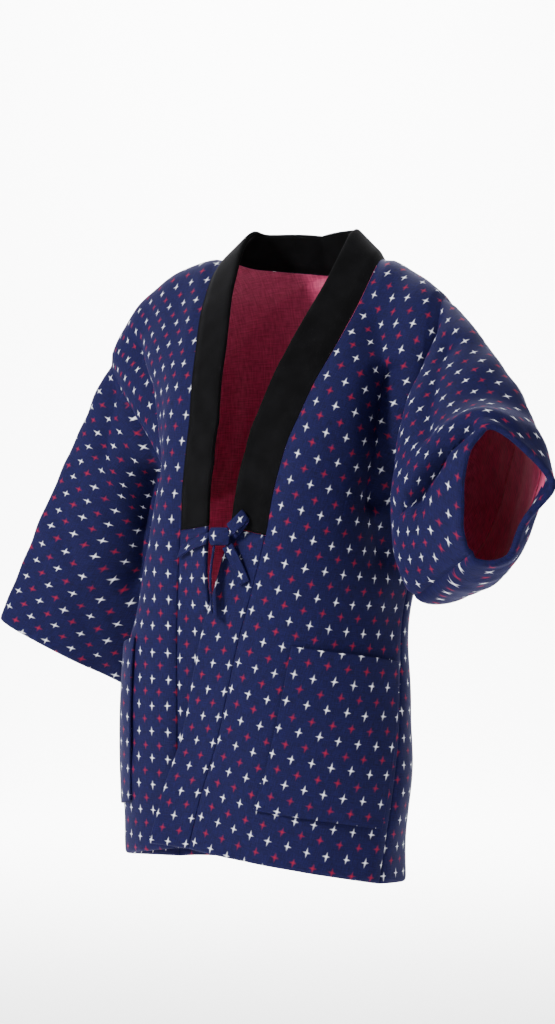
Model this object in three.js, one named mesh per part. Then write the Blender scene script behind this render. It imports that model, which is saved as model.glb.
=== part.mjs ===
// A hanten, the padded Japanese short coat, in the hollow form and pose that it has when it is worn.
// Millimetres, +Z up. The origin is the middle of the neck at shoulder level, +X is the wearer's left
// and -Y is the front. The left front laps over the right one, and the left forearm is raised.
//
// Every piece is a wall on a surface point(across, along): a closed solid between an outer and an inner
// grid of points. Pieces that are sewn together share the seam's curve and its normals, and each one
// stops half a seam gap short of it.

import * as THREE from 'three';

// Cloth
const WALL = 9; // cotton wadding between the outer cloth and the lining
const SEAM_WALL = 4.5; // where a seam or a hem pulls the wadding flat
const SEAM_GAP = 0.3; // between pieces that are sewn together
const THINNEST = 1.2; // where the wadding is pinched, as under the arms
const ARMHOLE_TRIM = 1; // how far a sleeve stops short of the armhole, which its seam turns in
const BAND_WIDTH = 56; // front band and collar
const BAND_WALL = 7;
const POCKET_WALL = 3; // unpadded, turned in at the edges
const LINING_WALL = 1.5;
const TIE_WIDTH = 15;
const TIE_WALL = 3;

// Stations along a body length, as shares of the way from the front hem over the shoulder to the back hem
const ARMPIT_FRONT = 0.33;
const SHOULDER = 0.5;
const ARMPIT_BACK = 1 - ARMPIT_FRONT;

// The opening edge of each body length: up the band seam, round the neck and down the centre back.
// [along, x, y, z]
const OPENING_LEFT = [
  [0.0, -65, -162, -740],
  [0.048, -45, -164, -672],
  [0.094, -22, -165, -606],
  [0.18, 7, -164, -486],
  [0.233, 28, -162, -413],
  [0.279, 43, -158, -351],
  [0.318, 52, -154, -296],
  [0.348, 66, -147, -239],
  [0.369, 80, -139, -202],
  [0.392, 94, -127, -163],
  [0.419, 110, -105, -120],
  [0.455, 116, -60, -69],
  [0.5, 115, 0, -8],
  [0.54, 92, 56, -4],
  [0.585, 0, 84, -14],
];
const OPENING_RIGHT = [
  [0.0, -100, -137, -744],
  [0.048, -98, -137, -673],
  [0.094, -96, -138, -604],
  [0.182, -96, -139, -477],
  [0.232, -93, -140, -411],
  [0.279, -90, -140, -345],
  [0.315, -90, -138, -296],
  [0.343, -88, -132, -244],
  [0.364, -86, -127, -205],
  [0.384, -86, -123, -169],
  [0.41, -93, -103, -126],
  [0.453, -109, -58, -58],
  [0.5, -115, 0, 0],
  [0.54, -92, 56, -4],
  [0.585, 0, 84, -14],
];
// Down the centre back, which both body lengths share
const CENTRE_BACK = [
  [0.585, 0, 84, -14],
  [0.62, 0, 104, -96],
  [0.67, 0, 112, -262],
  [0.78, 8, 96, -440],
  [0.9, 20, 88, -625],
  [1.0, 28, 86, -788],
];

// The side seams, from the hem to the armpit: [share of the way up, x, y, z]
const SIDE_LEFT = [
  [0, 155, -76, -779],
  [0.35, 163, -42, -612],
  [0.7, 152, -8, -450],
  [1, 174, 22, -312],
];
const SIDE_RIGHT = [
  [0, -202, 33, -778],
  [0.35, -211, 26, -610],
  [0.7, -189, 24, -450],
  [1, -175, 25, -310],
];

// How a weft row of a body length leaves the opening edge and reaches its side edge, in degrees:
// bearing in plan from +X towards +Y, mirrored for the right side, and pitch above level.
// [along, bearing at the edge, pitch there, bearing at the side, pitch there]
const ROWS_LEFT = [
  [0.0, -6, -8, 66, -10],
  [0.094, -4, -8, 78, -10],
  [0.18, -2, -8, 86, -8],
  [0.279, 0, -8, 82, -4],
  [0.33, 2, -8, 76, -4],
  [0.39, 4, -10, 60, -20],
  [0.44, 6, -14, 38, -28],
  [0.475, 2, -22, 14, -35],
  [0.5, -2, -24, -8, -38],
  [0.525, -4, -26, -20, -37],
  [0.56, 4, -20, -46, -30],
  [0.61, 4, -8, -62, -20],
  [0.67, 0, -4, -84, -4],
  [0.78, -6, -2, -84, 2],
  [0.9, -10, 0, -98, 4],
  [1.0, -10, 0, -104, 4],
];
const ROWS_RIGHT = [
  [0.0, -4, -8, 124, -6],
  [0.094, -6, -8, 120, -6],
  [0.18, -6, -8, 116, -4],
  [0.279, 2, -8, 98, -4],
  [0.33, 6, -8, 82, -4],
  [0.39, 8, -8, 66, -20],
  [0.44, 12, -6, 46, -46],
  [0.475, 6, -2, 16, -66],
  [0.5, 0, 0, 0, -70],
  [0.525, -8, -2, -16, -66],
  [0.56, 4, -8, -46, -48],
  [0.61, 4, -6, -62, -26],
  [0.67, 0, -4, -88, -4],
  [0.78, 0, -2, -84, 0],
  [0.9, 2, 0, -70, 0],
  [1.0, 2, 0, -62, 0],
];

// The width of the band lies along this direction from the seam. [along, x, y, z]
const BAND_TURN_LEFT = [
  [0.0, -0.98, -0.1, 0.08],
  [0.048, -0.98, 0.02, 0.12],
  [0.094, -0.97, 0.12, 0.16],
  [0.18, -0.98, 0.05, 0.18],
  [0.279, -0.97, 0.12, 0.18],
  [0.348, -0.94, 0.06, 0.3],
  [0.392, -0.9, 0.0, 0.4],
  [0.419, -0.86, -0.04, 0.46],
  [0.5, -0.77, 0.0, 0.64],
  [0.54, -0.5, -0.38, 0.72],
  [0.585, 0.0, -0.42, 0.85],
];
const BAND_TURN_RIGHT = [
  [0.0, 0.99, 0.0, 0.05],
  [0.094, 0.99, -0.02, 0.05],
  [0.182, 0.98, -0.08, 0.05],
  [0.232, 0.93, -0.34, 0.1],
  [0.279, 0.93, -0.36, 0.1],
  [0.343, 0.94, -0.3, 0.16],
  [0.384, 0.93, -0.24, 0.26],
  [0.41, 0.88, -0.1, 0.4],
  [0.5, 0.77, 0.0, 0.64],
  [0.54, 0.5, -0.38, 0.72],
  [0.585, 0.0, -0.42, 0.85],
];
const COLLAR_END = 0.279; // the velvet ends here, just above the tie
const NECK_BACK = 0.585; // middle of the neck behind

// Each sleeve is a tube through closed loops of six points, the first loop being the armhole.
// [share of the way to the cuff, x y z of the top fold, of two points down the front, of the underarm
// and of two points up the back]
const SLEEVE_LEFT = [
  [0, 217, -18, -60, 224, -56, -123, 202, -36, -249, 174, 22, -312, 207, 47, -249, 229, 27, -123],
  [0.3, 282, -57, -117, 241, -121, -159, 214, -128, -248, 200, -60, -345, 232, 24, -305, 268, 22, -180],
  [0.6, 345, -89, -179, 287, -169, -214, 237, -181, -308, 225, -118, -418, 278, -40, -400, 340, -48, -270],
  [0.85, 392, -114, -244, 339, -180, -206, 286, -193, -285, 281, -155, -399, 346, -129, -394, 379, -116, -331],
  [1, 418, -140, -288, 363, -192, -225, 335, -205, -285, 337, -192, -371, 372, -164, -373, 387, -148, -329],
];
const SLEEVE_RIGHT = [
  [0, -286, 0, -127, -248, -24, -173, -192, -12, -264, -175, 25, -310, -213, 55, -264, -269, 43, -173],
  [0.3, -334, -8, -224, -282, -28, -269, -232, 4, -348, -226, 56, -374, -258, 70, -341, -315, 40, -262],
  [0.65, -389, -20, -346, -329, -23, -389, -252, 33, -461, -230, 92, -490, -284, 92, -447, -366, 36, -375],
  [1, -443, -30, -468, -375, -22, -504, -282, 56, -561, -256, 126, -583, -320, 111, -548, -414, 33, -491],
];

// The largest folds, as soft troughs: [from x y z, to x y z, half width, depth]
const FOLDS_LEFT = [
  [150, -76, -70, 172, -88, -150, 26, 15],
  [172, -88, -150, 172, -90, -234, 28, 26],
  [172, -90, -234, 160, -72, -310, 28, 24],
  [160, -72, -310, 155, -52, -370, 26, 12],
];
const FOLDS_RIGHT = [
  [-226, -32, -110, -196, -62, -160, 17, 11],
  [-196, -62, -160, -188, -62, -230, 17, 13],
];
const FOLDS_SLEEVE_LEFT = [
  [262, -190, -313, 299, -199, -254, 16, 15],
  [299, -199, -254, 336, -198, -222, 15, 13],
  [256, -84, -128, 262, -130, -180, 18, 8],
  [262, -130, -180, 262, -160, -230, 16, 8],
];
const FOLDS_SLEEVE_RIGHT = [
  [-272, -19, -160, -280, -30, -241, 15, 8],
  [-216, -16, -275, -232, 0, -345, 24, 20],
  [-232, 0, -345, -249, 11, -412, 24, 14],
];

// Pockets, in millimetres over a front: from the band seam, width, above the hem, height
const FRONT_WIDTH = 262;
const FRONT_LENGTH = 455; // hem to armpit
const POCKET_FROM_SEAM = 78;
const POCKET_WIDTH = 170;
const POCKET_ABOVE_HEM = 62;
const POCKET_HEIGHT = 197;

const NAVY = '#20296b';
const VELVET = '#0b0b0d';
const CRIMSON = '#b8345f';

const v3 = (x, y, z) => new THREE.Vector3(x, y, z);

// A smooth curve through the rows of a table: cubic between rows, with the slope at a row taken from
// its neighbours. The first column is the station, and the rest is what is returned.
function through(rows) {
  const last = rows.length - 1;
  const slope = (i, k) => {
    const a = rows[Math.max(i - 1, 0)];
    const b = rows[Math.min(i + 1, last)];
    return (b[k] - a[k]) / (b[0] - a[0]);
  };
  return (t) => {
    let i = 0;
    while (i < last - 1 && t > rows[i + 1][0]) i += 1;
    const [a, b] = [rows[i], rows[i + 1]];
    const span = b[0] - a[0];
    const s = (t - a[0]) / span;
    const [s2, s3] = [s * s, s * s * s];
    return a.slice(1).map((from, n) => {
      const k = n + 1;
      return from * (2 * s3 - 3 * s2 + 1) + b[k] * (3 * s2 - 2 * s3)
        + span * (slope(i, k) * (s3 - 2 * s2 + s) + slope(i + 1, k) * (s3 - s2));
    });
  };
}

// The stretch from b to c of a smooth curve through four points
function curve(a, b, c, d, t) {
  const [t2, t3] = [t * t, t * t * t];
  return v3(0, 0, 0)
    .addScaledVector(a, 0.5 * (2 * t2 - t - t3))
    .addScaledVector(b, 0.5 * (2 - 5 * t2 + 3 * t3))
    .addScaledVector(c, 0.5 * (t + 4 * t2 - 3 * t3))
    .addScaledVector(d, 0.5 * (t3 - t2));
}

function direction(bearing, pitch) {
  const [b, p] = [THREE.MathUtils.degToRad(bearing), THREE.MathUtils.degToRad(pitch)];
  return v3(Math.cos(p) * Math.cos(b), Math.cos(p) * Math.sin(b), Math.sin(p));
}

// A curve from one point to another that leaves and arrives in given directions, with handles as long
// as a circle's would be.
function bow(from, leaving, to, arriving, t) {
  const turn = leaving.angleTo(arriving);
  const chord = from.distanceTo(to);
  const handle = turn < 0.01 ? chord / 3 : chord * (2 / 3) * Math.tan(turn / 4) / Math.sin(turn / 2);
  const a = from.clone().addScaledVector(leaving, handle);
  const b = to.clone().addScaledVector(arriving, -handle);
  const s = 1 - t;
  return v3(0, 0, 0)
    .addScaledVector(from, s * s * s)
    .addScaledVector(a, 3 * s * s * t)
    .addScaledVector(b, 3 * s * t * t)
    .addScaledVector(to, t * t * t);
}

// A sleeve's loop at a share of the way to the cuff. The angle is 0 at the top fold, goes down in front
// to 180 degrees at the underarm and comes up behind.
function sleevePoint(loops) {
  const loop = through(loops);
  const last = loops[0].length - 1;
  return (angle, share) => {
    const row = loop(share);
    const points = [];
    for (let k = 0; k < last; k += 3) points.push(v3(...row.slice(k, k + 3)));
    const turn = ((angle / (2 * Math.PI)) % 1 + 1) % 1;
    const count = points.length;
    const at = turn * count;
    const i = Math.floor(at);
    const [a, b, c, d] = [i - 1, i, i + 1, i + 2].map((k) => points[(k + count) % count]);
    return curve(a, b, c, d, at - i);
  };
}

// A body length: across runs from the opening edge, 0, to the side seam and the armhole, 1.
function bodyPoint({ opening, side, rows, sleeve, mirror }) {
  const neckAt = through(opening);
  const backAt = through(CENTRE_BACK);
  const openingAt = (along) => (along <= NECK_BACK + 0.001 ? neckAt(along) : backAt(along));
  const sideAt = through(side);
  const rowAt = through(rows);
  const sideEdge = (along) => {
    const front = along <= SHOULDER;
    const up = front ? along : 1 - along;
    if (up <= ARMPIT_FRONT) return v3(...sideAt(up / ARMPIT_FRONT));
    const angle = Math.PI * (SHOULDER - up) / (SHOULDER - ARMPIT_FRONT);
    return sleeve(front ? angle : -angle, 0);
  };
  const turned = (bearing, pitch) => {
    const d = direction(bearing, pitch);
    return mirror ? d.setX(-d.x) : d;
  };
  return (across, along) => {
    const [bearing0, pitch0, bearing1, pitch1] = rowAt(along);
    const from = v3(...openingAt(along));
    return bow(from, turned(bearing0, pitch0), sideEdge(along), turned(bearing1, pitch1), across);
  };
}

// How deep the folds push a point in
function foldDepth(point, folds) {
  let depth = 0;
  for (const [x0, y0, z0, x1, y1, z1, halfWidth, deep] of folds) {
    const line = new THREE.Line3(v3(x0, y0, z0), v3(x1, y1, z1));
    const nearest = line.closestPointToPoint(point, true, v3(0, 0, 0));
    depth = Math.max(depth, deep * Math.exp(-((nearest.distanceTo(point) / halfWidth) ** 2)));
  }
  return depth;
}

// A grid of points on a surface and its normals. sign is 1 or -1, to have them point out of the coat.
function surface(point, columns, rows, { sign = 1, ring = false, folds = [] } = {}) {
  const points = rows.map((along) => columns.map((across) => point(across, along)));
  const normalsOf = () => points.map((row, j) => row.map((_, i) => {
    const m = columns.length - 1;
    const left = ring && i === 0 ? row[m - 1] : row[Math.max(i - 1, 0)];
    const right = ring && i === m ? row[1] : row[Math.min(i + 1, m)];
    const below = points[Math.max(j - 1, 0)][i];
    const above = points[Math.min(j + 1, rows.length - 1)][i];
    return right.clone().sub(left).cross(above.clone().sub(below)).normalize().multiplyScalar(sign);
  }));
  let normals = normalsOf();
  if (folds.length) {
    const [m, n] = [columns.length - 1, rows.length - 1];
    points.forEach((row, j) => row.forEach((p, i) => {
      const sewn = j === 0 || j === n || (!ring && (i === 0 || i === m));
      if (!sewn) p.addScaledVector(normals[j][i], -foldDepth(p, folds));
    }));
    normals = normalsOf();
  }
  return { points, normals, columns, rows, sign, ring };
}

// Where edge points of several grids meet, their normals all get the mean, so that the edges of the
// walls meet face to face. flush is 1 where they run on straight and near 0 where they are doubled back.
function sew(grids) {
  const meeting = new Map();
  for (const { points, normals, ring } of grids) {
    const [m, n] = [points[0].length - 1, points.length - 1];
    points.forEach((row, j) => row.forEach((p, i) => {
      if (j !== 0 && j !== n && (ring || (i !== 0 && i !== m))) return;
      const place = p.toArray().map((x) => Math.round(x * 10)).join();
      meeting.set(place, [...(meeting.get(place) ?? []), normals[j][i]]);
    }));
  }
  for (const normals of meeting.values()) {
    const mean = normals.reduce((sum, n) => sum.add(n), v3(0, 0, 0)).divideScalar(normals.length);
    const flush = mean.length();
    mean.normalize();
    normals.forEach((n) => Object.assign(n.copy(mean), { flush }));
  }
}

// The closed solid between two offset grids of a surface. out and into are functions of (i, j) that
// give the distance of the outer and inner faces from the surface. trim pulls the sewn edges back.
function wall(name, colour, grid, out, into, trim = SEAM_GAP / 2) {
  const { points, normals, sign, ring } = grid;
  const [nj, ni] = [points.length, points[0].length];
  const pulled = points.map((row, j) => row.map((p, i) => {
    const q = p.clone();
    const pull = (to) => q.addScaledVector(to.clone().sub(p).normalize(), trim);
    if (!ring && i === 0) pull(row[1]);
    if (!ring && i === ni - 1) pull(row[ni - 2]);
    if (j === 0) pull(points[1][i]);
    if (j === nj - 1) pull(points[nj - 2][i]);
    return q;
  }));
  const wide = ring ? ni - 1 : ni;
  const position = [];
  const face = (distance, way) => pulled.forEach((row, j) => row.slice(0, wide).forEach((p, i) => {
    const q = p.clone().addScaledVector(normals[j][i], way * distance(i, j));
    position.push(q.x, q.y, q.z);
  }));
  face(out, 1);
  face(into, -1);
  const id = (layer, i, j) => layer * wide * nj + j * wide + (i % wide);
  const index = [];
  const quad = (a, b, c, d) => {
    if (sign > 0) index.push(a, b, c, a, c, d);
    else index.push(a, c, b, a, d, c);
  };
  const cells = ring ? wide : wide - 1;
  for (let j = 0; j < nj - 1; j += 1) {
    for (let i = 0; i < cells; i += 1) {
      quad(id(0, i, j), id(0, i + 1, j), id(0, i + 1, j + 1), id(0, i, j + 1));
      quad(id(1, i, j), id(1, i, j + 1), id(1, i + 1, j + 1), id(1, i + 1, j));
    }
    if (!ring) {
      quad(id(0, 0, j), id(0, 0, j + 1), id(1, 0, j + 1), id(1, 0, j));
      quad(id(0, ni - 1, j), id(1, ni - 1, j), id(1, ni - 1, j + 1), id(0, ni - 1, j + 1));
    }
  }
  for (let i = 0; i < cells; i += 1) {
    quad(id(0, i, 0), id(1, i, 0), id(1, i + 1, 0), id(0, i + 1, 0));
    quad(id(0, i, nj - 1), id(0, i + 1, nj - 1), id(1, i + 1, nj - 1), id(1, i, nj - 1));
  }
  const geometry = new THREE.BufferGeometry();
  geometry.setAttribute('position', new THREE.Float32BufferAttribute(position, 3));
  geometry.setIndex(index);
  const material = new THREE.MeshStandardMaterial({ color: colour, roughness: 0.9, metalness: 0 });
  const mesh = new THREE.Mesh(geometry, material);
  mesh.name = name;
  return mesh;
}

// How far a point is from the surfaces of other pieces
function clearance(point, others) {
  const nearest = v3(0, 0, 0);
  const triangle = new THREE.Triangle();
  let least = 2 * WALL;
  for (const { points } of others) {
    for (let j = 0; j < points.length - 1; j += 1) {
      for (let i = 0; i < points[0].length - 1; i += 1) {
        const [a, b, c, d] = [points[j][i], points[j][i + 1], points[j + 1][i + 1], points[j + 1][i]];
        if (a.distanceTo(point) > least + a.distanceTo(c) + b.distanceTo(d)) continue;
        for (const corners of [[a, b, c], [a, c, d]]) {
          triangle.set(...corners).closestPointToPoint(point, nearest);
          least = Math.min(least, nearest.distanceTo(point));
        }
      }
    }
  }
  return least;
}

// Half the thickness of a padded wall: thin at its edges, full one row of points further in, and
// pressed flat where another piece lies close to it
function padded(grid, full, edge, others = []) {
  const { points, normals, ring } = grid;
  const [nj, ni] = [points.length, points[0].length];
  const half = points.map((row, j) => row.map((p, i) => {
    const atEdge = j === 0 || j === nj - 1 || (!ring && (i === 0 || i === ni - 1));
    if (atEdge) return Math.max(THINNEST, edge * (normals[j][i].flush ?? 1) ** 2) / 2;
    return Math.min(full, Math.max(THINNEST, 0.8 * clearance(p, others) - SEAM_GAP)) / 2;
  }));
  return (i, j) => half[j][i];
}

// Stations from one value to another with one more near each end, where the padding starts
function spaced(from, to, count, edge = 0) {
  const inner = Array.from({ length: count + 1 }, (_, k) => from + (to - from) * k / count);
  if (!edge) return inner;
  return [from, from + edge, ...inner.slice(1, -1), to - edge, to];
}

const model = new THREE.Group();

// Stations of the body lengths
const POCKET_COLUMNS = [POCKET_FROM_SEAM / FRONT_WIDTH, (POCKET_FROM_SEAM + POCKET_WIDTH) / FRONT_WIDTH];
const POCKET_ROWS = [POCKET_ABOVE_HEM, POCKET_ABOVE_HEM + POCKET_HEIGHT]
  .map((height) => ARMPIT_FRONT * height / FRONT_LENGTH);
const ACROSS = [0, 0.045, 0.12, 0.21, ...spaced(...POCKET_COLUMNS, 11), 0.975, 1];
const RING_STEPS = 16; // rows from the armpit to the shoulder
const FRONT = [
  0, 0.01,
  ...spaced(...POCKET_ROWS, 5),
  0.22, 0.25, COLLAR_END, 0.305,
  ...spaced(ARMPIT_FRONT, SHOULDER, RING_STEPS),
];
const ALONG = [...FRONT, ...FRONT.slice(0, -1).reverse().map((along) => 1 - along)];

const sleeveAt = { left: sleevePoint(SLEEVE_LEFT), right: sleevePoint(SLEEVE_RIGHT) };
const bodyAt = {
  left: bodyPoint({
    opening: OPENING_LEFT, side: SIDE_LEFT, rows: ROWS_LEFT, sleeve: sleeveAt.left, mirror: false,
  }),
  right: bodyPoint({
    opening: OPENING_RIGHT, side: SIDE_RIGHT, rows: ROWS_RIGHT, sleeve: sleeveAt.right, mirror: true,
  }),
};
const body = {
  left: surface(bodyAt.left, ACROSS, ALONG, { sign: 1, folds: FOLDS_LEFT }),
  right: surface(bodyAt.right, ACROSS, ALONG, { sign: -1, folds: FOLDS_RIGHT }),
};

// Sleeves: rings whose columns meet the rows of the body length at the armhole
const RING = Array.from({ length: 2 * RING_STEPS + 1 }, (_, k) => Math.PI * (1 - k / RING_STEPS));
const sleeve = {
  left: surface(sleeveAt.left, RING, spaced(0, 1, 14, 0.03), {
    sign: -1, ring: true, folds: FOLDS_SLEEVE_LEFT,
  }),
  right: surface(sleeveAt.right, RING, spaced(0, 1, 11, 0.025), {
    sign: 1, ring: true, folds: FOLDS_SLEEVE_RIGHT,
  }),
};

// Bands and collar: across runs from the seam, 0, to the free edge, 1
function bandPoint(opening, turn) {
  const openingAt = through(opening);
  const turnAt = through(turn);
  return (across, along) => v3(...openingAt(along))
    .addScaledVector(v3(...turnAt(along)).normalize(), BAND_WIDTH * across);
}
const bandAt = {
  left: bandPoint(OPENING_LEFT, BAND_TURN_LEFT),
  right: bandPoint(OPENING_RIGHT, BAND_TURN_RIGHT),
};
const BAND_ACROSS = [0, 0.12, 0.5, 0.88, 1];
const BAND_ALONG = FRONT.filter((along) => along <= COLLAR_END);
const band = {
  left: surface(bandAt.left, BAND_ACROSS, BAND_ALONG, { sign: -1 }),
  right: surface(bandAt.right, BAND_ACROSS, BAND_ALONG, { sign: 1 }),
};
// The collar goes from the left end round the neck to the right end
const collarSide = ALONG.filter((along) => along >= COLLAR_END && along < NECK_BACK + 0.001);
const COLLAR_ALONG = [...collarSide, ...collarSide.slice(0, -1).reverse().map((t) => 2 * NECK_BACK - t)];
const collar = surface(
  (across, t) => (t <= NECK_BACK + 0.001 ? bandAt.left(across, t) : bandAt.right(across, 2 * NECK_BACK - t)),
  BAND_ACROSS,
  COLLAR_ALONG,
  { sign: -1 },
);

sew([body.left, body.right, sleeve.left, sleeve.right, band.left, band.right, collar]);

// Part of a grid, moved along its normals
function moved({ points, normals, sign, ring }, [j0, j1], [i0, i1], distance) {
  const cut = (rows) => rows.slice(j0, j1 + 1).map((row) => row.slice(i0, i1 + 1));
  const kept = cut(normals);
  return {
    points: cut(points).map((row, j) => row.map((p, i) => p.clone().addScaledVector(kept[j][i], distance))),
    normals: kept,
    sign,
    ring,
  };
}

function padding(grid, full, others = [], edge = SEAM_WALL) {
  const half = padded(grid, full, edge, others);
  return [half, half];
}
const even = (thickness) => [() => thickness / 2, () => thickness / 2];

const nearest = (list, value) => list.reduce(
  (best, x, k) => (Math.abs(x - value) < Math.abs(list[best] - value) ? k : best),
  0,
);
for (const side of ['left', 'right']) {
  model.add(wall(`body_${side}`, NAVY, body[side], ...padding(body[side], WALL, [sleeve[side], collar])));
  model.add(wall(`sleeve_${side}`, NAVY, sleeve[side], ...padding(sleeve[side], WALL, [body[side]]), ARMHOLE_TRIM));
  model.add(wall(`band_${side}`, NAVY, band[side], ...padding(band[side], BAND_WALL)));
  const rows = POCKET_ROWS.map((along) => nearest(ALONG, along));
  const columns = POCKET_COLUMNS.map((across) => nearest(ACROSS, across));
  const pocket = moved(body[side], rows, columns, WALL / 2 + SEAM_GAP + POCKET_WALL / 2);
  model.add(wall(`pocket_${side}`, NAVY, pocket, ...even(POCKET_WALL), 0));
}
model.add(wall('collar', VELVET, collar, ...padding(collar, BAND_WALL, [body.left, body.right]), 1.5 * SEAM_GAP));
const LINING_ROWS = [8, sleeve.left.points.length - 2];
const lining = moved(sleeve.left, LINING_ROWS, [0, 2 * RING_STEPS], -(WALL / 2 + SEAM_GAP + LINING_WALL / 2));
model.add(wall('cuff_lining_left', CRIMSON, lining, ...even(LINING_WALL), 0));

// The tie: ribbons along short paths, each with the direction of its width
function ribbon(name, path, wide, width = TIE_WIDTH) {
  const at = through(path.map((p, k) => [k / (path.length - 1), ...p]));
  const side = v3(...wide).normalize();
  const point = (across, along) => v3(...at(along)).addScaledVector(side, width * (across - 0.5));
  const steps = path.length > 3 ? 10 : 5;
  const grid = surface(point, spaced(0, 1, 2), spaced(0, 1, steps), { sign: 1 });
  return wall(name, NAVY, grid, ...even(TIE_WALL), 0);
}
const TIES = {
  tie_tail_left: { wide: [0.35, 0, 1], path: [[-32.7, -170, -354], [-58, -161, -361], [-86, -151, -372]] },
  tie_tail_right: { wide: [1, 0, 0.45], path: [[-6, -168, -363.6], [6, -168, -384], [18, -167, -409]] },
  tie_tail_down: { wide: [0.5, -0.87, 0], path: [[-22, -173, -363.5], [-26, -175, -402], [-22, -178, -447]] },
  tie_loop: {
    wide: [-0.6, 0, 0.8],
    path: [
      [-0.8, -164.3, -349], [7, -159.2, -338], [14, -159.2, -329], [16, -164.3, -326], [9, -170, -335], [-0.8, -171, -343],
    ],
  },
};
for (const [name, { wide, path }] of Object.entries(TIES)) model.add(ribbon(name, path, wide));
const KNOT = { centre: [-16, -169, -352], half: [15, 5, 11] };
const knotPoint = (across, along) => {
  const [a, b] = [Math.PI * (across - 0.5) * 0.8, Math.PI * (along - 0.5) * 0.8];
  const [x, y, z] = KNOT.centre;
  const [hx, hy, hz] = KNOT.half;
  return v3(x + hx * Math.sin(a) * Math.cos(b * 0.5), y - hy * Math.cos(a) * Math.cos(b), z + hz * Math.sin(b));
};
const knot = surface(knotPoint, spaced(0, 1, 6), spaced(0, 1, 6), { sign: 1 });
model.add(wall('tie_knot', NAVY, knot, () => 1, () => 4, 0));

export default model;
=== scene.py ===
"""A hanten, the padded Japanese short coat, dressed in kasuri cotton, velvet and a crimson lining.

Every piece is a padded wall on a surface point(across, along), worked out as whole arrays. The tables of
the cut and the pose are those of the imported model, in millimetres, and the meshes are in metres.
"""

import bpy
import numpy as np
from bpy.props import FloatProperty, FloatVectorProperty, IntProperty, PointerProperty
from bpy.types import Operator, Panel, PropertyGroup
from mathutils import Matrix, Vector


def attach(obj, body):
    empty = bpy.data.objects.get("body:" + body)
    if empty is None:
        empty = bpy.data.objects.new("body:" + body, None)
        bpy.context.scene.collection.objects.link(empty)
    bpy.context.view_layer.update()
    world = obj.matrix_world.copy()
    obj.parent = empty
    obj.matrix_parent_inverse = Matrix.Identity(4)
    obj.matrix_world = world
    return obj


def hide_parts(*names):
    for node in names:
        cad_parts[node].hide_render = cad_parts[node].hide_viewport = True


bl_info = {
    "name": "Hanten",
    "version": (1, 0, 0),
    "blender": (4, 5, 0),
    "location": "View3D > Sidebar > Hanten",
    "description": "Padded short coat in its worn form, with kasuri cloth, velvet collar and lining",
    "category": "Object",
}

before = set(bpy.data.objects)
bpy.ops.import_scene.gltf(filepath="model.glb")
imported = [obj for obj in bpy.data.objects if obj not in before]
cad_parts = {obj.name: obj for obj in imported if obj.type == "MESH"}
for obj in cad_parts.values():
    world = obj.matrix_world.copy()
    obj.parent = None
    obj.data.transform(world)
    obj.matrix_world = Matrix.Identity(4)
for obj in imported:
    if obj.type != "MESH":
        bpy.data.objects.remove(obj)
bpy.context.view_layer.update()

MM = 0.001
SEAM_GAP = 0.3  # between pieces that are sewn together
SEAM_HALF = 1.6  # half the wall where a seam pulls the wadding flat
HEM_HALF = 1.0  # half the wall at the very edge of a hem, which is rounded
SEAM_SWELL = 15.0  # how far from a seam the wadding is full again
HEM_SWELL = 6.0  # the same for a hem
SEAM_HOLD = 12.0  # how far from a seam the folds and ripples have their full depth
PINCHED_HALF = 0.5  # half the wall where another piece presses it flat
GAP_SHARE = 0.3  # half a wall takes this share of the way to the other piece, less PRESS_GAP
PRESS_GAP = 0.1
NEAR = 30.0  # how far round a piece its neighbours are looked for
AT_A_TIME = 400  # points whose distances are worked out together
FOLD_SHAPE = 1.6  # the power in a fold's bell curve: 1 is sharp at the bottom, 2 is round
BODY_RIPPLE = 75.0  # how far apart the ripples of the wadding are
SLEEVE_RIPPLE = 70.0
RIPPLE_FADE = 25.0  # how far from the underarm seam a sleeve's ripples are full
RIPPLE_WAVES = 14
UNDERARM_PULL = 4.0  # how deep the underarm seam pulls the wadding in
UNDERARM_REACH = 5.0
FACING_BODY = 20.0  # outer cloth turned in along the hem
FACING_SLEEVE = 22.0

ARMPIT_FRONT = 0.33
SHOULDER = 0.5
NECK_BACK = 0.585
COLLAR_END = 0.279
BAND_WIDTH = 56.0

# The opening edge of each body length: up the band seam and round the neck. [along, x, y, z]
OPENING_LEFT = [
    [0.0, -65, -162, -740], [0.048, -45, -164, -672], [0.094, -22, -165, -606],
    [0.18, 7, -164, -486], [0.233, 28, -162, -413], [0.279, 43, -158, -351],
    [0.318, 52, -154, -296], [0.348, 66, -147, -239], [0.369, 80, -139, -202],
    [0.392, 94, -127, -163], [0.419, 110, -105, -120], [0.455, 116, -60, -69], [0.5, 115, 0, -8],
    [0.54, 92, 56, -4], [0.585, 0, 84, -14],
]
OPENING_RIGHT = [
    [0.0, -100, -137, -744], [0.048, -98, -137, -673], [0.094, -96, -138, -604],
    [0.182, -96, -139, -477], [0.232, -93, -140, -411], [0.279, -90, -140, -345],
    [0.315, -90, -138, -296], [0.343, -88, -132, -244], [0.364, -86, -127, -205],
    [0.384, -86, -123, -169], [0.41, -93, -103, -126], [0.453, -109, -58, -58], [0.5, -115, 0, 0],
    [0.54, -92, 56, -4], [0.585, 0, 84, -14],
]
# Down the centre back, which both body lengths share
CENTRE_BACK = [
    [0.585, 0, 84, -14], [0.62, 0, 104, -96], [0.67, 0, 112, -262], [0.78, 8, 96, -440],
    [0.9, 20, 88, -625], [1.0, 28, 86, -788],
]
# The side seams, from the hem to the armpit: [share of the way up, x, y, z]
SIDE_LEFT = [
    [0, 155, -76, -779], [0.35, 163, -42, -612], [0.7, 152, -8, -450], [1, 174, 22, -312],
]
SIDE_RIGHT = [
    [0, -202, 33, -778], [0.35, -211, 26, -610], [0.7, -189, 24, -450], [1, -175, 25, -310],
]
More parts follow.
